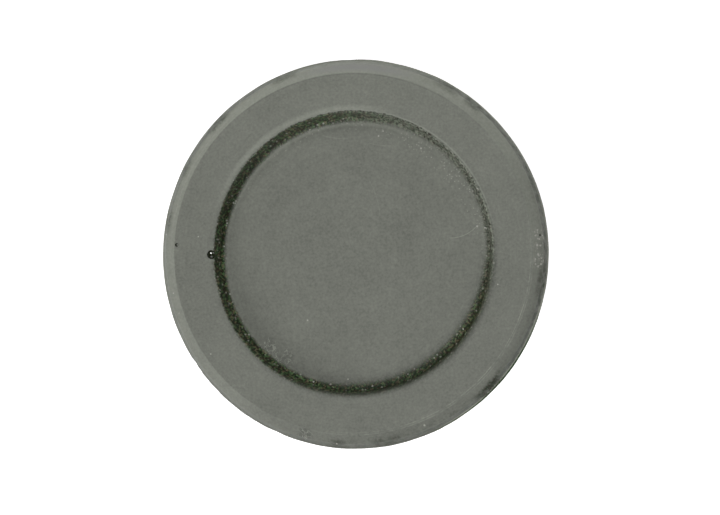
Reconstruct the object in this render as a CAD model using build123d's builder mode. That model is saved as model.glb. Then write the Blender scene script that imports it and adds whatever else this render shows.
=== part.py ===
from build123d import *
import math
import os

# A rubber panel plug, moulded in one piece, in millimetres. It closes a round hole in sheet metal:
# the flange lies on the panel, the neck fills the hole, and the bead holds it from behind.
# It lies on the rim of its skirt, with the recessed face up. +Z runs up its round axis,
# and the origin is the middle of the plane that the rim rests on.

# The hole that it fills
hole_diameter = 38.1
panel_thickness = 1.6

# Flange: a flat ring, a bevel, and a drafted side down to the mould's parting line
flange_lap = 4.57
flange_thickness = 2.2
bevel_width = 1.15
bevel_drop = 0.87
side_draft = 18.0

# Flash left along the parting line, level with the flange's underside
flash_width = 0.18
flash_thickness = 0.22

# Recess in the face, with a steep wall and a level floor
lip_wall = 1.89
recess_depth = 2.6
recess_draft = 13.0

# Bead behind the panel, and the skirt that narrows below it as a lead-in
bead_lap = 1.6
bead_land = 0.9
lead_in_height = 2.3
lead_in_width = 2.7
rim_width = 2.3

# Membrane between the recess and the hollow under it
membrane_thickness = 2.0
hollow_draft = 10.0

# Rounded corners of the section
lip_radius = 0.3
recess_foot_radius = 0.6
shoulder_radius = 0.35
bead_radius = 0.5
rim_radius = 0.4

# Corners that the mould leaves with a small flat
root_flat = 0.2
bead_flat = 0.3
rim_flat = 0.3
hollow_foot_flat = 0.5


def run(height, angle):
    """Distance that a wall leans sideways over a height, for its draft angle in degrees."""
    return height * math.tan(math.radians(angle))


# Heights, counted up from the rim
bead_widest_low = lead_in_height
bead_widest_high = bead_widest_low + bead_land
flange_underside = bead_widest_high + panel_thickness
flash_top = flange_underside + flash_thickness
face_height = flange_underside + flange_thickness
bevel_foot = face_height - bevel_drop
recess_floor = face_height - recess_depth
hollow_roof = recess_floor - membrane_thickness

# Radii, counted out from the axis
neck = hole_diameter / 2
bead = neck + bead_lap
side_foot = neck + flange_lap
parting = side_foot + flash_width
shoulder = side_foot - run(bevel_foot - flange_underside, side_draft)
side_at_flash = side_foot - run(flash_thickness, side_draft)
crease = shoulder - bevel_width
recess_lip = neck - lip_wall
recess_foot = recess_lip - run(recess_depth, recess_draft)
rim_outside = bead - lead_in_width
rim_inside = rim_outside - rim_width
hollow_foot = rim_inside - run(hollow_roof, hollow_draft)

# Corners of the section, as (radius, height), in order round its outline
floor_middle = (0, recess_floor)
recess_foot_corner = (recess_foot, recess_floor)
lip_corner = (recess_lip, face_height)
crease_corner = (crease, face_height)
shoulder_corner = (shoulder, bevel_foot)
flash_root = (side_at_flash, flash_top)
flash_upper_edge = (parting, flash_top)
flash_lower_edge = (parting, flange_underside)
upper_root = (neck, flange_underside)
lower_root = (neck, bead_widest_high)
bead_upper_edge = (bead, bead_widest_high)
bead_lower_edge = (bead, bead_widest_low)
rim_outer_edge = (rim_outside, 0)
rim_inner_edge = (rim_inside, 0)
hollow_foot_corner = (hollow_foot, hollow_roof)
roof_middle = (0, hollow_roof)

with BuildPart() as plug:
    with BuildSketch(Plane.XZ) as section:
        with BuildLine():
            Polyline(
                floor_middle,
                recess_foot_corner,
                lip_corner,
                crease_corner,
                shoulder_corner,
                flash_root,
                flash_upper_edge,
                flash_lower_edge,
                upper_root,
                lower_root,
                bead_upper_edge,
                bead_lower_edge,
                rim_outer_edge,
                rim_inner_edge,
                hollow_foot_corner,
                roof_middle,
                close=True,
            )
        make_face()
        rounded_corners = (
            (recess_foot_corner, recess_foot_radius),
            (lip_corner, lip_radius),
            (shoulder_corner, shoulder_radius),
            (bead_lower_edge, bead_radius),
            (rim_outer_edge, rim_radius),
        )
        for corner, radius in rounded_corners:
            fillet(section.vertices().sort_by_distance(corner)[0], radius=radius)
        flattened_corners = (
            (upper_root, root_flat),
            (lower_root, root_flat),
            (bead_upper_edge, bead_flat),
            (rim_inner_edge, rim_flat),
            (hollow_foot_corner, hollow_foot_flat),
        )
        for corner, flat in flattened_corners:
            chamfer(section.vertices().sort_by_distance(corner)[0], length=flat)
    revolve(axis=Axis.Z)

plug.part.label = "plug"

os.makedirs("parts", exist_ok=True)
export_step(plug.part, "parts/plug.step")
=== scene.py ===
import math
from collections import namedtuple

import bmesh
import bpy
from mathutils import Matrix, Vector, noise


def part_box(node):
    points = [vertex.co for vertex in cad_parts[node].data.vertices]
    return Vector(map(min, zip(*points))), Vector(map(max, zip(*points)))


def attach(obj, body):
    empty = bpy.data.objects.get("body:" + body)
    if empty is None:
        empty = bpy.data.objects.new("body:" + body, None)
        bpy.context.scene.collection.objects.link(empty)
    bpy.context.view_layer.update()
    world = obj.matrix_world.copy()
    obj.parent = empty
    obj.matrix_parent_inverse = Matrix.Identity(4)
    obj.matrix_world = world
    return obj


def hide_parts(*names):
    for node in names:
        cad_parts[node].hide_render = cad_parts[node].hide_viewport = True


# Rubber panel plug, seen from above with its recessed face up. Lengths are written in millimetres and
# turned into metres where an object is made. A photo angle is counted clockwise from the photo's right,
# and the photo's up is +Y.

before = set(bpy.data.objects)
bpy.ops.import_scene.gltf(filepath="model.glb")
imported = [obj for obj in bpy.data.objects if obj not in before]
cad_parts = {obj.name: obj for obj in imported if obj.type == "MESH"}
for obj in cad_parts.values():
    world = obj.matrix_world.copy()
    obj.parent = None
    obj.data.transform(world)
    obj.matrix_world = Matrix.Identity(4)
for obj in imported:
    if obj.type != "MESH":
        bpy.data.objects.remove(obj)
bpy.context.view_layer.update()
plug_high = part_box("plug")[1]

MM = 0.001
TURN = 2 * math.pi

# Sizes of the section
face_height = plug_high.z / MM
parting_radius = plug_high.x / MM
neck_radius = 19.05
flange_underside = 4.8
flash_thickness = 0.22
flash_width = 0.18
crease_radius = 22.04
shoulder_radius = 23.19
bevel_drop = 0.87
lip_radius = 17.16
recess_depth = 2.6
recess_foot_radius = 16.56
bead_radius = 20.65
bead_low = 2.3
bead_high = 3.2
rim_outside = 17.95
rim_inside = 15.65
hollow_roof = 2.4
hollow_foot_radius = 15.23
# The mesh has rings from here out, and finer rings from the second radius
middle_radius = 0.4
detail_radius = 13.6

recess_floor = face_height - recess_depth
bevel_foot = face_height - bevel_drop
flash_top = flange_underside + flash_thickness
side_foot_radius = parting_radius - flash_width

# The lip and the recess's foot are sharp at one side of the photo and soft at the other, as
# (least rounding, rounding added, photo angle of the soft side)
LIP_ROUNDING = (0.14, 0.5, 55)
FOOT_ROUNDING = (0.35, 0.55, 60)

# Points in a ring of the mesh, on the detailed side and on the rest
FINE = 720
COARSE = 360


def photo_angle(degrees):
    """Angle in the object's own turning sense, in radians, for one counted clockwise in the photo."""
    return math.radians(-degrees)


def facing(angle, towards):
    """1 where an angle points the same way as a photo angle, falling smoothly to 0 on the far side."""
    return 0.5 + 0.5 * math.cos(angle - photo_angle(towards))


def bump(distance, width):
    """1 at no distance, falling smoothly to almost 0 at twice the width."""
    return math.exp(-(distance / width) ** 2)


def angle_gap(angle, degrees):
    """Degrees between an angle and a photo angle, the short way round."""
    return (math.degrees(angle - photo_angle(degrees)) + 180) % 360 - 180


# The section

Corner = namedtuple("Corner", "radius height rounding arc_points run_points segments")


def section(angle):
    """Corners of the plug's section at one angle, from the floor's middle out and round to the roof's."""
    least, added, soft_side = LIP_ROUNDING
    lip_rounding = least + added * facing(angle, soft_side) ** 2
    least, added, soft_side = FOOT_ROUNDING
    foot_rounding = least + added * facing(angle, soft_side)
    return [
        Corner(middle_radius, recess_floor, 0, 1, 20, COARSE),
        Corner(detail_radius, recess_floor, 0, 1, 9, FINE),
        Corner(recess_foot_radius, recess_floor, foot_rounding, 7, 12, FINE),
        Corner(lip_radius, face_height, lip_rounding, 7, 16, FINE),
        Corner(crease_radius, face_height, 0.12, 3, 9, FINE),
        Corner(shoulder_radius, bevel_foot, 0.3, 4, 7, FINE),
        Corner(side_foot_radius, flash_top, 0.05, 2, 1, FINE),
        Corner(parting_radius, flash_top, 0.06, 3, 1, FINE),
        Corner(parting_radius, flange_underside, 0.06, 3, 8, COARSE),
        Corner(neck_radius, flange_underside, 0.2, 3, 4, COARSE),
        Corner(neck_radius, bead_high, 0.2, 3, 3, COARSE),
        Corner(bead_radius, bead_high, 0.35, 4, 2, COARSE),
        Corner(bead_radius, bead_low, 0.5, 5, 6, COARSE),
        Corner(rim_outside, 0, 0.4, 5, 3, COARSE),
        Corner(rim_inside, 0, 0.35, 4, 4, COARSE),
        Corner(hollow_foot_radius, hollow_roof, 0.55, 5, 14, COARSE),
        Corner(middle_radius, hollow_roof, 0, 1, 0, COARSE),
    ]


def rounded(before, corner, after):
    """Points of one corner's arc, as (radius, height), from the run before it to the run after it."""
    here = Vector((corner.radius, corner.height))
    if not corner.rounding:
        return [here]
    into = (Vector((before.radius, before.height)) - here).normalized()
    out = (Vector((after.radius, after.height)) - here).normalized()
    half = into.angle(out) / 2
    setback = corner.rounding / math.tan(half)
    middle = here + (into + out).normalized() * (corner.rounding / math.sin(half))
    start = here + into * setback - middle
    end = here + out * setback - middle
    points = []
    for step in range(corner.arc_points):
        share = step / (corner.arc_points - 1)
        points.append(middle + start.lerp(end, share).normalized() * corner.rounding)
    return points


def outline(angle):
    """Points round the section at one angle, each with the number of points in its ring."""
    corners = section(angle)
    arcs = []
    for place, corner in enumerate(corners):
        before = corners[max(place - 1, 0)]
        after = corners[min(place + 1, len(corners) - 1)]
        arcs.append(rounded(before, corner, after))
    points = []
    for place, corner in enumerate(corners):
        points += [(point, corner.segments) for point in arcs[place]]
        if place + 1 < len(corners):
            start, end = arcs[place][-1], arcs[place + 1][0]
            for step in range(1, corner.run_points + 1):
                share = step / (corner.run_points + 1)
                points.append((start.lerp(end, share), corner.segments))
    return points


# Wear and mould marks in the shape

# How much the face sinks between its raised margins at the lip and the crease, as (radius, width), how high
# the crease's margin is for the lip's 1, and how much the face drifts
FACE_SINK = 0.06
LIP_MARGIN = (17.4, 0.42)
CREASE_MARGIN = (22.0, 0.24)
CREASE_RISE = 0.6
FACE_DRIFT = 0.006
DRIFT_FINENESS = 0.12
# How much the recess wall is out of round, and how ragged it is, as (fineness, amount)
LIP_OVAL = 0.07
WALL_RAGGED = ((2.2, 0.03), (0.5, 0.04))
# How much the flash is trimmed, and how ragged its edge is, as (fineness, amount)
FLASH_TRIM = 0.03
FLASH_RAGGED = ((0.25, 0.05), (1.1, 0.015))
# Chips in the flash, as (photo angle, half width in degrees, depth)
CHIPS = (
    (146, 1.2, 0.09),
    (143.5, 0.8, 0.06),
    (114, 2.0, 0.05),
    (129, 1.5, 0.03),
    (136, 1.2, 0.03),
    (198, 2.5, 0.02),
    (268.5, 1.6, 0.05),
    (62, 1.5, 0.03),
    (12, 2.0, 0.02),
)
# Shallow dents where the edge of the bevel is rubbed, as (photo angle, half width in degrees, depth)
RUBBED = (
    (9, 4, 0.03),
    (44, 4, 0.06),
    (80, 3.5, 0.03),
    (95, 2, 0.03),
    (190, 2.5, 0.03),
    (207, 2, 0.03),
    (224, 3, 0.04),
    (248, 3, 0.03),
    (299.5, 3, 0.028),
    (309, 2.2, 0.032),
    (341, 3, 0.012),
)
# How far a dent reaches up and down, and how uneven it is, as (least depth, amount, fineness)
DENT_REACH = 0.6
DENT_UNEVEN = (0.75, 0.5, 1.5)


def roughened(spot, layers):
    """A small distance that varies from place to place, by layers of (fineness, amount)."""
    return sum(noise.noise(spot * fineness) * amount for fineness, amount in layers)


def worn(point, angle):
    """A point of the section, as (radius, height), moved by the marks of moulding and wear."""
    radius, height = point
    spot = Vector((radius * math.cos(angle), radius * math.sin(angle), height))
    drift = noise.noise(spot * DRIFT_FINENESS)
    if height > recess_floor + 0.3 and radius > lip_radius - 0.9 and radius < shoulder_radius + 0.1:
        share = min(1, max(0, (height - bevel_foot) / bevel_drop))
        lip_rise = bump(max(0, radius - LIP_MARGIN[0]), LIP_MARGIN[1])
        crease_rise = CREASE_RISE * bump(min(0, radius - CREASE_MARGIN[0]), CREASE_MARGIN[1])
        height -= share * (FACE_SINK * (1 - max(lip_rise, crease_rise)) + FACE_DRIFT * (1 + drift))
    on_wall = recess_floor + 0.05 < height < face_height - 0.05 and radius < lip_radius + 0.3
    if on_wall:
        radius += roughened(spot, WALL_RAGGED) - LIP_OVAL * math.cos(2 * angle)
    if radius > shoulder_radius - 0.35 and height > flange_underside - 0.1:
        least, amount, fineness = DENT_UNEVEN
        for place, width, depth in RUBBED:
            gap = angle_gap(angle, place)
            if abs(gap) < 2.5 * width:
                patch = bump(gap, width) * (least + amount * noise.noise(spot * fineness))
                radius -= depth * patch * bump(height - bevel_foot, DENT_REACH)
    if radius > side_foot_radius and height > flange_underside - 0.1:
        proud = (radius - side_foot_radius) / flash_width
        trimmed = FLASH_TRIM + roughened(spot, FLASH_RAGGED)
        for place, width, depth in CHIPS:
            gap = angle_gap(angle, place)
            if abs(gap) < 3 * width:
                trimmed += depth * bump(gap, width)
        radius -= proud * max(0.0, trimmed)
    return radius, height


def make_plug():
    """The plug's surface as rings of points round its axis, closed by a point on the axis at each end."""
    outlines = [outline(TURN * step / FINE) for step in range(FINE)]
    vertices = [Vector((0, 0, recess_floor))]
    rings = []
    for ring in range(len(outlines[0])):
        segments = outlines[0][ring][1]
        rings.append((len(vertices), segments))
        for step in range(segments):
            angle = TURN * step / segments
            radius, height = worn(outlines[step * FINE // segments][ring][0], angle)
            vertices.append(Vector((radius * math.cos(angle), radius * math.sin(angle), height)))
    vertices.append(Vector((0, 0, hollow_roof)))
    faces = []
    first, last = rings[0], rings[-1]
    for step in range(first[1]):
        faces.append((0, first[0] + step, first[0] + (step + 1) % first[1]))
    for step in range(last[1]):
        faces.append((len(vertices) - 1, last[0] + (step + 1) % last[1], last[0] + step))
    for (inner, inner_count), (outer, outer_count) in zip(rings, rings[1:]):
        for step in range(min(inner_count, outer_count)):
            near = [inner + step, inner + (step + 1) % inner_count]
            far = [outer + (step + 1) % outer_count, outer + step]
            if inner_count > outer_count:
                near = [inner + (2 * step + turn) % inner_count for turn in range(3)]
            if outer_count > inner_count:
                far = [outer + (2 * step + turn) % outer_count for turn in (2, 1, 0)]
            faces.append(tuple(reversed(near + far)))
    mesh = bpy.data.meshes.new("rubber_plug")
    mesh.from_pydata([vertex * MM for vertex in vertices], [], faces)
    mesh.update()
    return mesh


# Pits left by air bubbles, as (photo angle, radius from the axis, height of the surface, pit radius,
# way in as (outwards, up))
PITS = (
    (179.8, 17.44, face_height, 0.52, (0.1, -1)),
    (183.0, 21.75, face_height - 0.03, 0.21, (0, -1)),
    (354.6, 22.95, face_height - 0.72, 0.17, (-0.5, -0.8)),
)
# Depth of a pit as a share of its radius
PIT_DEPTH = 0.6
# How often the faces at a pit are divided, how far round it, and the shortest edge that is divided, both
# in pit radii
PIT_DIVISIONS = 3
PIT_REACH = 1.5
PIT_EDGE = 1 / 9


def press_pit(mesh, place, distance, height, size, into):
    """Sinks a round pit into the mesh where it stands, after dividing the faces round it finely."""
    angle = photo_angle(place)
    middle = Vector((distance * math.cos(angle), distance * math.sin(angle), height)) * MM
    outward = Vector((math.cos(angle), math.sin(angle), 0))
    depth_way = (outward * into[0] + Vector((0, 0, into[1]))).normalized()
    radius = size * MM
    work = bmesh.new()
    work.from_mesh(mesh)
    for _ in range(PIT_DIVISIONS):
        near = [edge for edge in work.edges
                if ((edge.verts[0].co + edge.verts[1].co) / 2 - middle).length < radius * PIT_REACH
                and edge.calc_length() > radius * PIT_EDGE]
        bmesh.ops.subdivide_edges(work, edges=near, cuts=1, use_grid_fill=True)
    for vertex in work.verts:
        offset = vertex.co - middle
        along = offset.dot(depth_way)
        aside = (offset - depth_way * along).length
        if aside < radius and offset.length < radius * 1.6:
            floor_here = math.sqrt(radius * radius - aside * aside) * PIT_DEPTH
            if along < floor_here:
                vertex.co += depth_way * (floor_here - along)
    work.to_mesh(mesh)
    work.free()
    mesh.update()


# Corners sharper than this many degrees stay sharp in the shading
SHARP_CORNER = 50

plug = bpy.data.objects.new("rubber_plug", make_plug())
bpy.context.collection.objects.link(plug)
for pit in PITS:
    press_pit(plug.data, *pit)
plug.data.shade_smooth()
plug.data.set_sharp_from_angle(angle=math.radians(SHARP_CORNER))
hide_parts("plug")
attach(plug, "root")


# Materials

class Shading:
    """Adds nodes to one material's tree and links them, so that a material reads as a list of steps."""

    def __init__(self, name):
        self.material = bpy.data.materials.new(name)
        self.material.use_nodes = True
        self.nodes = self.material.node_tree.nodes
        self.links = self.material.node_tree.links
        self.shader = self.nodes["Principled BSDF"]
        self.output = self.nodes["Material Output"]

    def feed(self, socket, value):
        """Links an output to a socket, or writes a plain value on it."""
        if isinstance(value, bpy.types.NodeSocket):
            self.links.new(value, socket)
        else:
            socket.default_value = value

    def maths(self, operation, first, second=0.0, third=0.0):
        """One Math node."""
        node = self.nodes.new("ShaderNodeMath")
        node.operation = operation
        for socket, value in zip(node.inputs, (first, second, third)):
            self.feed(socket, value)
        return node.outputs[0]

    def add(self, *values):
        """A sum."""
        total = values[0]
        for value in values[1:]:
            total = self.maths("ADD", total, value)
        return total

    def times(self, *values):
        """A product."""
        product = values[0]
        for value in values[1:]:
            product = self.maths("MULTIPLY", product, value)
        return product

    def centred(self, value, amount):
        """A value that varies about 0.5, made to vary about 0 by an amount."""
        return self.maths("MULTIPLY", self.maths("SUBTRACT", value, 0.5), amount)

    def vector(self, operation, first, second=(0, 0, 0), scale=1.0):
        """One Vector Math node, as a vector, or as a number for LENGTH, DISTANCE and DOT_PRODUCT."""
        node = self.nodes.new("ShaderNodeVectorMath")
        node.operation = operation
        self.feed(node.inputs[0], first)
        if operation == "SCALE":
            self.feed(node.inputs["Scale"], scale)
        elif operation not in ("LENGTH", "NORMALIZE"):
            self.feed(node.inputs[1], second)
        as_number = operation in ("LENGTH", "DISTANCE", "DOT_PRODUCT")
        return node.outputs["Value" if as_number else "Vector"]

    def fade(self, value, start, end, low=0.0, high=1.0):
        """A smooth step from low to high while the value goes from start to end."""
        node = self.nodes.new("ShaderNodeMapRange")
        node.interpolation_type = "SMOOTHSTEP"
        for name, given in (("Value", value), ("From Min", start), ("From Max", end),
                            ("To Min", low), ("To Max", high)):
            self.feed(node.inputs[name], given)
        return node.outputs["Result"]

    def noise(self, position, size, detail=2.0, roughness=0.5):
        """Noise about 0.5 with features of a size in millimetres."""
        node = self.nodes.new("ShaderNodeTexNoise")
        self.feed(node.inputs["Vector"], position)
        node.inputs["Scale"].default_value = 1 / size
        node.inputs["Detail"].default_value = detail
        node.inputs["Roughness"].default_value = roughness
        return node.outputs["Fac"]

    def dots(self, position, cell, size, share):
        """1 in round dots of a size, one in each cell, for a share of the cells."""
        node = self.nodes.new("ShaderNodeTexVoronoi")
        self.feed(node.inputs["Vector"], position)
        node.inputs["Scale"].default_value = 1 / cell
        split = self.nodes.new("ShaderNodeSeparateXYZ")
        self.feed(split.inputs[0], node.outputs["Color"])
        chosen = self.maths("LESS_THAN", split.outputs["X"], share)
        inside = self.fade(node.outputs["Distance"], size / cell, size / cell * 0.5)
        return self.times(chosen, inside)

    def mix(self, share, first, second):
        """A colour between two colours."""
        node = self.nodes.new("ShaderNodeMix")
        node.data_type = "RGBA"
        self.feed(node.inputs["Factor"], share)
        self.feed(node.inputs["A"], first)
        self.feed(node.inputs["B"], second)
        return node.outputs["Result"]

    def brighten(self, colour, amount):
        """A colour times a number."""
        return self.vector("SCALE", colour, scale=amount)


# Colours, as linear red, green and blue
BLOOM = (0.158, 0.166, 0.141, 1)
GREEN = (0.014, 0.044, 0.006, 1)
BROWN = (0.045, 0.037, 0.013, 1)
WHITISH = (0.26, 0.26, 0.252, 1)
PIT_DARK = (0.012, 0.016, 0.006, 1)
DUST = (0.36, 0.36, 0.32, 1)
# Colour of the painted highlight in the large pit
HIGHLIGHT_WHITE = (0.85, 0.86, 0.82, 1)
RUBBED_PALE = (0.25, 0.26, 0.225, 1)

# In the tables below, a sector is a photo angle and a reach in degrees, and a mark is full at the angle
# and gone at the reach

# The wall's grit is stretched this much along the wall's height
WALL_STRETCH = 0.4

# Radii between which the wall is painted dark, as rubber without bloom and as painted shade in the recess,
# fading in at its foot and out at its lip; the shifts shape the painted shade round the axis. Each is a
# radius and shifts of it, as (photo angle, reach, shift)
FOOT_START = (15.84, ((55, 60, -0.5), (318, 60, 0.25), (188, 34, -0.26)))
FOOT_END = (16.38, ((55, 60, -0.15), (318, 60, 0.45), (188, 34, -0.1)))
LIP_START = (17.22, ((190, 50, -0.24), (58, 60, -0.32), (278, 30, 0.1)))
LIP_END = (17.36, ((190, 50, -0.02), (278, 30, 0.1)))
# How far the foot's fade moves in at the photo's right, and how much the lip's fade spreads at lower right,
# both widening the painted shade there
FOOT_ASIDE = 0.2
LIP_SPREAD = 0.35

# Brightness of the bare wall between its grains, what a grain adds to it, and the bloom left on a grain
BETWEEN_GRAINS = 0.4
GRAIN_GAIN = 2.8
GRAIN_BLOOM = 0.34
# Where the grains are weaker, as (photo angle, reach, share taken away)
WEAK_GRAINS = (
    (48, 70, 0.55),
    (190, 70, 0.35),
)
# Least share of brown in the wall, as (photo angle, reach, share)
BROWN_SIDE = (0, 80, 0.25)
# Bloom and painted light left on the wall's upper sides: gritty at upper right, as (photo angle, reach,
# share, grit's part), and even at upper left, as (photo angle, reach, share)
GRITTY_BLOOM_AND_LIGHT = (322, 65, 0.45, 2.5)
EVEN_BLOOM_AND_LIGHT = (248, 55, 0.17)

# A rubbed dent's dark patch: its reach for each degree of the dent's half width, its share for each
# millimetre of the dent's depth, and how much it roughens the rubber
PATCH_REACH = 1.7
PATCH_SHARE = 14
PATCH_ROUGHNESS = 0.35

# Where the flange's steep side is painted dark, as thin bloom and as painted shade: everywhere, and as (photo
# angle, reach, share)
SIDE_BARE_AND_SHADE = 0.15
SIDE_DARK = (
    (25, 45, 0.45),
    (85, 35, 0.3),
    (225, 35, 0.42),
    (318, 45, 0.35),
    (345, 60, 0.15),
)

# Whitish bloom on the bevel at the top, as (radius, half width, photo angle, reach, share)
WHITISH_PATCH = (22.75, 0.75, 272, 20, 0.8)
# Pale parts of the flash, and a part at lower right painted dark as the flash's shadow, as (photo angle,
# reach, share)
PALE_FLASH = (10, 36, 0.6)
SHADED_FLASH = (42, 30, 1.0)

# Light flecks of dust, as (x, y, radius) on the seen side
FLECKS = (
    (17.75, -3.82, 0.1),
    (2.82, 14.42, 0.13),
    (3.38, 15.02, 0.12),
    (8.05, 12.88, 0.14),
    (-19.05, 2.14, 0.1),
    (-23.24, 2.45, 0.12),
    (-5.93, -8.07, 0.12),
    (-17.5, -12.2, 0.1),
    (-22.2, -4.75, 0.1),
    (8.73, -20.9, 0.14),
    (14.94, 3.34, 0.13),
    (15.9, 3.15, 0.12),
    (-14.9, 6.3, 0.09),
    (-21.5, -7.2, 0.08),
    (-2.1, -23.15, 0.1),
    (-0.94, -15.27, 0.1),
)
# A painted highlight in the large pit, and a pale patch that leaves the small pit a crescent, as (x, y, size)
PAINTED_PIT_HIGHLIGHT = (-17.5, 0.12, 0.15)
PIT_PATCH = (-21.6, 1.14, 0.17)
PIT_PATCH_SHARE = 0.9
# Pits up to this radius take only this share of the dark pit colour
SMALL_PIT_RADIUS = 0.2
SMALL_PIT_SHARE = 0.6

# Surface of the rubber: roughness, what the mottle adds to it, what bare rubber takes from it, its part
# left in a clean pit, the specular level, and the relief's depth
ROUGHNESS = 0.55
ROUGHNESS_MOTTLE = 0.2
BARE_SMOOTHER = -0.15
PIT_GLOSS = 0.1
SPECULAR = 0.4
RELIEF_DEPTH = 0.03
# Parts of the grain, the mottle and the wall's grit in the relief
RELIEF_GRAIN = 0.3
RELIEF_MOTTLE = 0.7
RELIEF_GRIT = 7.0

# How much each kind of unevenness changes the bloom's brightness, which is 1 on average
CLOUD_AMOUNT = 0.3
MOTTLE_AMOUNT = 0.34
GRAIN_AMOUNT = 0.55
STREAK_AMOUNT = 0.16
# The streaks' fineness round the axis and outwards
STREAK_ROUND = 5.0
STREAK_OUTWARD = 3.5

# Zones of the seen side between two radii, as (start and end of the fade in, start and end of the fade out)
RING_ZONES = {
    "lip_halo": (16.9, 17.1, 17.25, 18.1),
    "foot_halo": (14.4, 16.1, 16.6, 17.0),
    "steep_wall": (16.3, 16.6, 17.2, 17.4),
    "floor_edge": (12.0, 15.6, 16.2, 16.6),
    "fine_dust": (14.2, 16.0, 16.3, 16.6),
    "scattered_dust": (13.6, 15.2, 16.2, 16.5),
}
# What painted light and shade, and a few darker bands at the edge, add to the brightness in rings, as
# (radius, half width, photo angle, reach, amount)
RING_TONES = (
    # Painted highlights along the lip at upper left and upper right
    (17.68, 0.65, 245, 50, 0.46),
    (17.5, 0.2, 315, 50, 0.42),
    # A painted shaded line in the crease at the top, and a light line on the bevel at upper left
    (21.9, 0.08, 268, 60, -0.16),
    (22.5, 0.08, 205, 35, 0.16),
    # Painted light at the floor's edge at upper left, lifting the lamps' shadow there
    (15.95, 0.4, 248, 80, 0.38),
    # Painted shade on the bevel's outer part at the right
    (23.0, 0.45, 20, 45, -0.16),
    # Darker bands at the edge at upper left, by the rubbed patches
    (23.35, 0.18, 222, 28, -0.2),
    (23.22, 0.3, 212, 36, -0.45),
    # Painted shade at the edge at lower right, and a painted shadow line on the side at the left
    (23.3, 0.2, 30, 30, -0.3),
    (23.4, 0.1, 163, 18, -0.6),
)
# The same for rings that come and go along their length
BROKEN_RINGS = (
    # Light lines along the crease at lower right, worn edges with a painted highlight
    (21.83, 0.07, 50, 60, 0.4),
    (22.09, 0.07, 50, 70, 0.4),
    (21.83, 0.07, 18, 35, 0.3),
)
# The same for whole zones of the surface, as (zone, photo angle, reach, amount)
ZONE_TONES = (
    # Painted light on the bevel at upper left and top, and painted shade on it at lower right
    ("bevel", 235, 120, 0.36),
    ("bevel", 288, 95, 0.2),
    ("bevel", 85, 45, -0.16),
    # Painted shade on the lip's rounding at lower right and right
    ("lip_halo", 85, 130, -0.22),
    ("lip_halo", 15, 45, -0.2),
    # Painted shade on the floor by the wall at lower right
    ("foot_halo", 55, 75, -0.32),
    # Painted light on the recess wall at upper right
    ("steep_wall", 322, 75, 0.6),
    # Painted light on the face towards the top
    ("face", 272, 100, 0.07),
    # Painted light at the floor's edge at upper left, lifting the lamps' shadow there
    ("floor_edge", 245, 130, 0.1),
    # A darker, mottled band near the bevel's outer edge towards lower right
    ("darker_mottled_edge", 45, 75, -0.2),
    # Painted highlight: a light line at the foot of the side at lower right
    ("side_foot", 37, 32, 2.0),
)
# The bevel is lighter all round, partly whitish rubber and partly painted light
BEVEL_TONE = 0.12
# A dull patch on the face, as (x, y, size), and its amount
DULL_PATCH = (3.0, -19.9, 1.4)
DULL_AMOUNT = -0.07
# Scuffs on the floor, and a wrinkled patch on the bevel, as (x, y, size), and their amounts
SCUFFS = (
    (-10.7, -11.1, 1.7),
    (-8.9, -12.6, 1.9),
)
SCUFF_AMOUNT = 0.62
WRINKLED = (-6.0, -22.0, 1.4)
WRINKLED_AMOUNT = 0.6

# Fine scratches on the floor, as (x, y, radius) of an arc, the (x, y) and reach of its middle, and how pale
SCRATCHES = (
    (11.69, 6.17, 4.25, 13.4, 2.3, 2.1, 0.5),
    (-1.2, 24.3, 10.2, -2.6, 14.2, 1.9, 0.22),
    (4.2, 22.6, 9.4, 3.0, 13.3, 1.6, 0.2),
    (-6.6, 4.1, 9.6, 2.6, 6.9, 2.6, 0.16),
)
SCRATCH_WIDTH = 0.09


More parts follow.
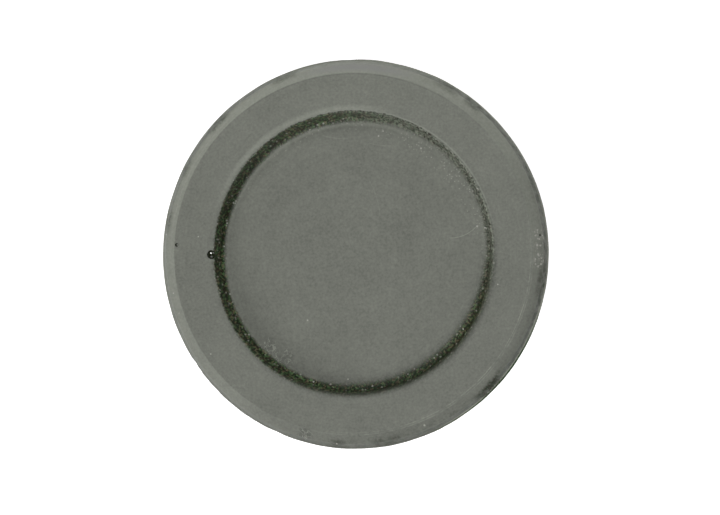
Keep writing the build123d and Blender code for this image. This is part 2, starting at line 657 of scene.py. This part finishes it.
class Spot:
    """Where a shaded point lies: its place in millimetres, and its radius and heading from the axis."""

    def __init__(self, make):
        coordinates = make.nodes.new("ShaderNodeTexCoord").outputs["Object"]
        split = make.nodes.new("ShaderNodeSeparateXYZ")
        self.make = make
        self.place = make.vector("SCALE", coordinates, scale=1 / MM)
        make.feed(split.inputs[0], self.place)
        self.height = split.outputs["Z"]
        self.flat = make.vector("MULTIPLY", self.place, (1, 1, 0))
        self.radius = make.vector("LENGTH", self.flat)
        self.heading = make.vector("NORMALIZE", self.flat)
        self.seen = make.fade(self.height, recess_floor - 0.3, recess_floor - 0.1)
        self.mottle = make.noise(self.place, size=0.9, detail=3.0, roughness=0.6)
        self.grain = make.noise(self.place, size=0.3, detail=1.0, roughness=0.6)
        self.stretched = make.vector("MULTIPLY", self.place, (1, 1, WALL_STRETCH))
        self.grit = make.noise(self.stretched, size=0.28, detail=1.0, roughness=0.6)
        wander = make.centred(make.noise(self.place, size=0.7, roughness=0.6), 0.35)
        ragged = make.centred(self.grit, 0.35)
        self.strayed = make.add(self.radius, wander, ragged)

    def towards(self, degrees):
        """Cosine of the angle between the point's heading and a photo angle."""
        angle = photo_angle(degrees)
        return self.make.vector("DOT_PRODUCT", self.heading, (math.cos(angle), math.sin(angle), 0))

    def sector(self, degrees, reach):
        """1 at a photo angle, falling smoothly to 0 at a number of degrees from it."""
        return self.make.fade(self.towards(degrees), math.cos(math.radians(reach)), 1.0)

    def band(self, middle, half_width, radius=None):
        """1 at a radius, falling smoothly to 0 on both sides of it."""
        gap = self.make.maths("ABSOLUTE", self.make.maths("SUBTRACT", radius or self.radius, middle))
        return self.make.fade(gap, half_width, 0.0)

    def between(self, inner_start, inner_end, outer_start, outer_end):
        """1 between two radii, fading in at the inner one and out at the outer one."""
        inside = self.make.fade(self.radius, inner_start, inner_end)
        return self.make.times(inside, self.make.fade(self.radius, outer_end, outer_start))

    def blob(self, x, y, size):
        """1 at a place of the seen side, falling smoothly to 0 at a distance from it."""
        gap = self.make.vector("DISTANCE", self.flat, (x, y, 0))
        return self.make.fade(gap, size, 0.0)

    def shifted(self, edge):
        """A radius that changes round the axis by the shifts in its table."""
        radius, shifts = edge
        for degrees, reach, shift in shifts:
            radius = self.make.maths("MULTIPLY_ADD", self.sector(degrees, reach), shift, radius)
        return radius


def bare_and_shaded_wall_mask(spot):
    """1 on the recess wall, the foot of the wall and its lip, painted dark as rubber without bloom and as
    painted shade in the recess, with a softer, wider edge of painted shade at lower right.
    """
    make = spot.make
    aside = make.times(spot.towards(0), -FOOT_ASIDE)
    spread = make.times(make.fade(spot.towards(55), -0.6, 0.9), LIP_SPREAD)
    foot_start = make.add(spot.shifted(FOOT_START), aside)
    foot_end = make.add(spot.shifted(FOOT_END), aside)
    lip_start = make.maths("SUBTRACT", spot.shifted(LIP_START), spread)
    lip_end = make.add(spot.shifted(LIP_END), spread)
    in_foot = make.fade(spot.strayed, foot_start, foot_end)
    before_lip = make.fade(spot.strayed, lip_end, lip_start)
    return make.times(in_foot, before_lip, spot.seen)


def wall_bloom_and_light(spot):
    """Share of the recess wall that keeps the bloom's colour, as bloom and as painted light on its upper
    sides.
    """
    make = spot.make
    degrees, reach, share, gritty = GRITTY_BLOOM_AND_LIGHT
    bloom = make.times(spot.sector(degrees, reach), make.add(share, make.centred(spot.grit, gritty)))
    degrees, reach, share = EVEN_BLOOM_AND_LIGHT
    return make.maths("MULTIPLY_ADD", spot.sector(degrees, reach), share, bloom)


def wall_colour(spot):
    """Dark green and brown rubber with pale grit in it, its darkness partly painted shade in the recess."""
    make = spot.make
    patches = make.fade(make.noise(spot.stretched, size=0.36, detail=1.0), 0.44, 0.6)
    degrees, reach, share = BROWN_SIDE
    brown = make.maths("MAXIMUM", patches, make.times(spot.sector(degrees, reach), share))
    colour = make.mix(brown, GREEN, BROWN)
    in_ring = make.fade(spot.radius, 18.0, 17.5)
    clumps = make.fade(make.noise(spot.place, size=1.3, roughness=0.6), 0.35, 0.65, 0.55, 1.45)
    grains = make.fade(spot.grit, 0.38, 0.64)
    grains = make.times(grains, grains, in_ring, clumps)
    for degrees, reach, share in WEAK_GRAINS:
        grains = make.times(grains, make.maths("MULTIPLY_ADD", spot.sector(degrees, reach), -share, 1.0))
    colour = make.brighten(colour, make.maths("MULTIPLY_ADD", grains, GRAIN_GAIN, BETWEEN_GRAINS))
    colour = make.mix(make.times(grains, GRAIN_BLOOM), colour, BLOOM)
    specks = make.times(make.dots(spot.stretched, cell=0.4, size=0.16, share=0.3), in_ring)
    specks = make.times(specks, make.fade(spot.mottle, 0.4, 0.65, 0.2, 1.0))
    return make.mix(specks, colour, DUST)


def rubbed_mask(spot):
    """Dark clean patches on the edge of the bevel."""
    make = spot.make
    band = make.times(make.fade(spot.strayed, 22.55, 23.15), make.fade(spot.strayed, 23.75, 23.55))
    speckled = make.times(make.fade(spot.grit, 0.16, 0.5), make.fade(spot.mottle, 0.3, 0.6, 0.5, 1.1))
    mask = 0.0
    for degrees, width, depth in RUBBED:
        share = min(1.0, PATCH_SHARE * depth)
        mask = make.maths("MAXIMUM", mask, make.times(spot.sector(degrees, PATCH_REACH * width), share))
    return make.times(mask, band, speckled)


def side_bare_and_shade_mask(spot):
    """How dark the steep side of the flange is painted, as thin bloom and as painted shade, down to the
    flash.
    """
    make = spot.make
    outside = make.fade(spot.radius, shoulder_radius - 0.04, shoulder_radius + 0.11)
    below = make.fade(spot.height, bevel_foot + 0.1, bevel_foot - 0.25)
    above = make.fade(spot.height, flash_top + 0.03, flash_top + 0.18)
    share = SIDE_BARE_AND_SHADE
    for degrees, reach, dark in SIDE_DARK:
        share = make.maths("MULTIPLY_ADD", spot.sector(degrees, reach), dark, share)
    return make.times(outside, below, above, share, make.fade(spot.mottle, 0.35, 0.65, 0.6, 1.3))


def flash_mask(spot):
    """The thin flash at the parting line."""
    make = spot.make
    outside = make.fade(spot.radius, side_foot_radius - 0.07, side_foot_radius + 0.03)
    return make.times(outside, make.fade(spot.height, flash_top + 0.13, flash_top + 0.03))


def scratches(spot):
    """Fine lines, each along a part of a circle."""
    make = spot.make
    total = 0.0
    for x, y, radius, middle_x, middle_y, reach, pale in SCRATCHES:
        away = make.vector("DISTANCE", spot.flat, (x, y, 0))
        along = make.vector("DISTANCE", spot.flat, (middle_x, middle_y, 0))
        along = make.fade(along, reach, reach * 0.7)
        total = make.add(total, make.times(spot.band(radius, SCRATCH_WIDTH, away), along, pale))
    return total


def tone(spot):
    """Brightness of the bloom: cloudy, mottled and streaked round the axis, with the marks of wear and
    painted light and shade.
    """
    make = spot.make
    cloud = make.noise(spot.place, size=5.0, detail=3.0, roughness=0.55)
    outward = make.nodes.new("ShaderNodeCombineXYZ")
    make.feed(outward.inputs["Z"], make.times(spot.radius, STREAK_OUTWARD))
    streaks = make.vector("ADD", make.vector("SCALE", spot.heading, scale=STREAK_ROUND), outward.outputs[0])
    streaks = make.noise(streaks, size=1.0, roughness=0.6)
    total = make.add(1.0, make.centred(cloud, CLOUD_AMOUNT), make.centred(spot.mottle, MOTTLE_AMOUNT))
    total = make.add(total, make.centred(spot.grain, GRAIN_AMOUNT), make.centred(streaks, STREAK_AMOUNT))
    low_on_side = make.fade(spot.height, flash_top + 0.38, flash_top + 0.23)
    zones = {
        "bevel": make.fade(spot.radius, crease_radius - 0.08, crease_radius + 0.06),
        "face": make.fade(spot.radius, 17.3, 18.0),
        # A darker, mottled band near the bevel's outer edge
        "darker_mottled_edge": make.times(spot.band(22.9, 0.8), make.fade(spot.mottle, 0.45, 0.6)),
        "side_foot": make.times(low_on_side, make.fade(spot.radius, 23.2, 23.3)),
    }
    for zone in ("lip_halo", "foot_halo", "steep_wall", "floor_edge"):
        zones[zone] = spot.between(*RING_ZONES[zone])
    broken = make.fade(spot.mottle, 0.35, 0.6, 0.15, 1.0)
    wrinkles = make.maths("ABSOLUTE", make.centred(make.noise(spot.place, size=0.6, detail=1.0), 1.0))
    wrinkles = make.fade(wrinkles, 0.045, 0.0, -0.4, 1.0)
    scuffed = 0.0
    for scuff in SCUFFS:
        scuffed = make.maths("MAXIMUM", scuffed, spot.blob(*scuff))
    scuffed = make.times(make.fade(scuffed, 0.0, 0.6), make.fade(wrinkles, 0.0, 0.8, -0.14, 1.0))
    marks = [
        (zones["bevel"], BEVEL_TONE),
        (make.times(make.fade(spot.blob(*WRINKLED), 0.0, 0.7), wrinkles), WRINKLED_AMOUNT),
        (spot.blob(*DULL_PATCH), DULL_AMOUNT),
        (scuffed, SCUFF_AMOUNT),
        (scratches(spot), 1.0),
    ]
    for zone, degrees, reach, amount in ZONE_TONES:
        marks.append((make.times(zones[zone], spot.sector(degrees, reach)), amount))
    for radius, half_width, degrees, reach, amount in RING_TONES:
        marks.append((make.times(spot.band(radius, half_width), spot.sector(degrees, reach)), amount))
    for radius, half_width, degrees, reach, amount in BROKEN_RINGS:
        marks.append((make.times(spot.band(radius, half_width), spot.sector(degrees, reach), broken), amount))
    for mark, amount in marks:
        total = make.maths("MULTIPLY_ADD", make.times(mark, spot.seen), amount, total)
    return total


def dust_mask(spot):
    """Pale specks: the large ones in their places, and fine ones inside the ring and on the right edge."""
    make = spot.make
    fine = make.times(spot.between(*RING_ZONES["fine_dust"]), spot.sector(275, 120))
    fine = make.times(fine, make.dots(spot.place, cell=0.36, size=0.12, share=0.3), 0.8)
    fine = make.times(fine, make.fade(spot.mottle, 0.35, 0.65))
    scattered = make.times(spot.between(*RING_ZONES["scattered_dust"]), spot.sector(316, 45))
    scattered = make.times(scattered, make.dots(spot.place, cell=0.31, size=0.1, share=0.4), 0.7)
    edge = make.fade(make.times(spot.band(22.75, 0.7), spot.sector(358.5, 7)), 0.0, 0.3)
    uneven = make.fade(make.noise(spot.place, size=0.35, detail=1.0), 0.36, 0.56, 0.1, 1.0)
    coarse = make.times(make.dots(spot.place, cell=0.34, size=0.21, share=0.65), edge, uneven)
    mask = make.maths("MAXIMUM", make.maths("MAXIMUM", fine, scattered), coarse)
    for x, y, size in FLECKS:
        mask = make.maths("MAXIMUM", mask, make.fade(spot.blob(x, y, size * 1.2), 0.0, 0.5))
    return make.times(mask, spot.seen)


def pit_mask(spot):
    """The insides of the pits, glossy and painted dark as clean rubber and as painted shade, and less so in
    the smallest.
    """
    make = spot.make
    mask = 0.0
    for degrees, distance, height, size, _ in PITS:
        angle = photo_angle(degrees)
        middle = (distance * math.cos(angle), distance * math.sin(angle), height)
        gap = make.vector("DISTANCE", spot.place, middle)
        clean = 1.0 if size > SMALL_PIT_RADIUS else SMALL_PIT_SHARE
        mask = make.maths("MAXIMUM", mask, make.fade(gap, size * 1.12, size * 0.98, 0.0, clean))
    return mask


def rubber_colour(spot, bare_and_shaded, pits):
    """Bloom, with its painted light and shade, where it is left; dark rubber with painted shade where it
    isn't; and the marks that lie over both, a painted highlight among them.
    """
    make = spot.make
    colour = make.brighten(BLOOM[:3], tone(spot))
    radius, half_width, degrees, reach, share = WHITISH_PATCH
    whitish = make.times(spot.band(radius, half_width), spot.sector(degrees, reach), spot.seen, share)
    colour = make.mix(whitish, colour, WHITISH)
    colour = make.mix(bare_and_shaded, colour, wall_colour(spot))
    # Pits painted dark as clean rubber and as painted shade inside them
    colour = make.mix(pits, colour, PIT_DARK)
    patch = make.times(make.fade(spot.blob(*PIT_PATCH), 0.0, 0.5), PIT_PATCH_SHARE)
    colour = make.mix(patch, colour, BLOOM)
    flash = flash_mask(spot)
    # The flash is pale in places, and painted dark as its shadow at lower right
    for (degrees, reach, share), shade in ((PALE_FLASH, RUBBED_PALE), (SHADED_FLASH, GREEN)):
        colour = make.mix(make.times(flash, spot.sector(degrees, reach), share), colour, shade)
    dust = make.times(dust_mask(spot), make.maths("SUBTRACT", 1.0, pits))
    colour = make.mix(dust, colour, DUST)
    # A painted highlight in the large pit
    return make.mix(make.fade(spot.blob(*PAINTED_PIT_HIGHLIGHT), 0.0, 0.5), colour, HIGHLIGHT_WHITE)


def rubber_material():
    """Olive grey rubber with a dull bloom, dark where the recess wall and rubbed places have none, and with
    painted shade on the recess wall and the flange's side.
    """
    make = Shading("olive_grey_rubber")
    spot = Spot(make)
    wall, pits, rubbed = bare_and_shaded_wall_mask(spot), pit_mask(spot), rubbed_mask(spot)
    # The recess wall is painted dark as rubber without bloom and as painted shade, less where bloom and
    # painted light are left on it
    bare_and_shaded_wall = make.times(wall, make.maths("SUBTRACT", 1.0, wall_bloom_and_light(spot)))
    bare_and_shaded = make.maths("MAXIMUM", bare_and_shaded_wall, make.maths("MAXIMUM", side_bare_and_shade_mask(spot), rubbed))
    make.feed(make.shader.inputs["Base Color"], rubber_colour(spot, bare_and_shaded, pits))

    roughness = make.maths("MULTIPLY_ADD", spot.mottle, ROUGHNESS_MOTTLE, ROUGHNESS)
    roughness = make.maths("MULTIPLY_ADD", bare_and_shaded, BARE_SMOOTHER, roughness)
    roughness = make.maths("MULTIPLY_ADD", rubbed, PATCH_ROUGHNESS, roughness)
    roughness = make.times(roughness, make.fade(pits, 0.0, 1.0, 1.0, PIT_GLOSS))
    make.feed(make.shader.inputs["Roughness"], roughness)
    make.shader.inputs["Specular IOR Level"].default_value = SPECULAR

    relief = make.add(make.times(spot.grain, RELIEF_GRAIN), make.times(spot.mottle, RELIEF_MOTTLE))
    relief = make.add(relief, make.times(spot.grit, wall, RELIEF_GRIT))
    relief = make.times(relief, make.maths("SUBTRACT", 1.0, pits))
    bump_node = make.nodes.new("ShaderNodeBump")
    bump_node.inputs["Strength"].default_value = 1.0
    bump_node.inputs["Distance"].default_value = RELIEF_DEPTH * MM
    make.feed(bump_node.inputs["Height"], relief)
    make.feed(make.shader.inputs["Normal"], bump_node.outputs["Normal"])
    return make.material


plug.data.materials.append(rubber_material())


# Camera: above the plug, leaning to the photo's right and a little down

PHOTO_WIDTH = 720
PHOTO_HEIGHT = 515
plug_middle_x = 355.2
plug_middle_y = 254.0
flange_across = 390.0
camera_lean = 8.0
camera_side = 12.0
lens = 300.0
sensor_width = 36.0


def make_camera():
    """The photo's view of the plug, framed as in the photo."""
    millimetres_per_pixel = 2 * parting_radius / flange_across
    distance = lens / sensor_width * PHOTO_WIDTH * millimetres_per_pixel
    lean, side = math.radians(camera_lean), photo_angle(camera_side)
    sight = Vector((math.sin(lean) * math.cos(side), math.sin(lean) * math.sin(side), math.cos(lean)))
    right = Vector((0, 1, 0)).cross(sight).normalized()
    upright = sight.cross(right).normalized()
    target = Vector((0, 0, flange_underside))
    target -= right * (plug_middle_x - PHOTO_WIDTH / 2) * millimetres_per_pixel
    target += upright * (plug_middle_y - PHOTO_HEIGHT / 2) * millimetres_per_pixel
    data = bpy.data.cameras.new("camera")
    data.lens = lens
    data.sensor_width = sensor_width
    data.clip_start = 0.01
    data.clip_end = 10
    camera = bpy.data.objects.new("camera", data)
    camera.location = (target + sight * distance) * MM
    camera.rotation_euler = Matrix((right, upright, sight)).transposed().to_euler()
    bpy.context.collection.objects.link(camera)
    bpy.context.scene.camera = camera


make_camera()


# Floor, world and lamps

FLOOR_REACH = 1.5
# The floor lies this far below the rim, so that the two faces don't share a plane
FLOOR_GAP = 0.02
PAPER = (0.8, 0.8, 0.8, 1)
PAPER_ROUGHNESS = 0.9
FLOOR_GLOW = 0.85

# The world's strength at the horizon and from this height of the sky up
HORIZON_GLOW = 0.8
SKY_GLOW = 0.08
SKY_START = 0.45

# Lamps, as (name, photo angle, elevation in degrees, share of a plain level that one gives to a surface
# facing it, size in metres), all at one distance in metres
LAMPS = (
    ("front_light", 60, 67, 0.4, 0.14),
    ("left_light", 142, 34, 0.36, 0.25),
    ("top_light", 262, 50, 0.34, 0.3),
)
LAMP_DISTANCE = 0.45


def make_floor():
    """A white floor that takes the plug's soft shadow, and glows for the camera and in reflections."""
    level = -FLOOR_GAP * MM
    corners = [(x, y, level) for x, y in ((-FLOOR_REACH, -FLOOR_REACH), (FLOOR_REACH, -FLOOR_REACH),
                                          (FLOOR_REACH, FLOOR_REACH), (-FLOOR_REACH, FLOOR_REACH))]
    mesh = bpy.data.meshes.new("floor")
    mesh.from_pydata(corners, [], [(0, 1, 2, 3)])
    floor = bpy.data.objects.new("floor", mesh)
    bpy.context.collection.objects.link(floor)
    make = Shading("white_paper")
    make.shader.inputs["Base Color"].default_value = PAPER
    make.shader.inputs["Roughness"].default_value = PAPER_ROUGHNESS
    glow = make.nodes.new("ShaderNodeEmission")
    glow.inputs["Strength"].default_value = FLOOR_GLOW
    path = make.nodes.new("ShaderNodeLightPath")
    both = make.nodes.new("ShaderNodeAddShader")
    plain = make.nodes.new("ShaderNodeMixShader")
    make.feed(both.inputs[0], make.shader.outputs[0])
    make.feed(both.inputs[1], glow.outputs[0])
    shown = make.add(path.outputs["Is Camera Ray"], path.outputs["Is Glossy Ray"])
    shown = make.maths("MINIMUM", make.add(shown, path.outputs["Is Transmission Ray"]), 1.0)
    make.feed(plain.inputs["Fac"], shown)
    make.feed(plain.inputs[1], make.shader.outputs[0])
    make.feed(plain.inputs[2], both.outputs[0])
    make.feed(make.output.inputs["Surface"], plain.outputs[0])
    mesh.materials.append(make.material)


def make_world():
    """A white surround that is bright near the horizon and dim above."""
    world = bpy.data.worlds.new("studio")
    world.use_nodes = True
    bpy.context.scene.world = world
    nodes, links = world.node_tree.nodes, world.node_tree.links
    background = nodes["Background"]
    background.inputs["Color"].default_value = (1, 1, 1, 1)
    direction = nodes.new("ShaderNodeTexCoord").outputs["Generated"]
    climb = nodes.new("ShaderNodeSeparateXYZ")
    level = nodes.new("ShaderNodeMapRange")
    level.inputs["From Min"].default_value = 0.0
    level.inputs["From Max"].default_value = SKY_START
    level.inputs["To Min"].default_value = HORIZON_GLOW
    level.inputs["To Max"].default_value = SKY_GLOW
    links.new(direction, climb.inputs[0])
    links.new(climb.outputs["Z"], level.inputs["Value"])
    links.new(level.outputs["Result"], background.inputs["Strength"])


def soft_light(name, degrees, elevation, share, size):
    """A round lamp aimed at the plug."""
    turn, rise = photo_angle(degrees), math.radians(elevation)
    towards = Vector((math.cos(turn) * math.cos(rise), math.sin(turn) * math.cos(rise), math.sin(rise)))
    data = bpy.data.lights.new(name, "AREA")
    data.shape = "DISK"
    data.size = size
    data.energy = share * math.pi * math.pi * LAMP_DISTANCE ** 2
    light = bpy.data.objects.new(name, data)
    light.location = towards * LAMP_DISTANCE
    light.rotation_euler = (-towards).to_track_quat("-Z", "Y").to_euler()
    bpy.context.collection.objects.link(light)


make_floor()
make_world()
for lamp in LAMPS:
    soft_light(*lamp)

bpy.context.scene.view_settings.view_transform = "Standard"
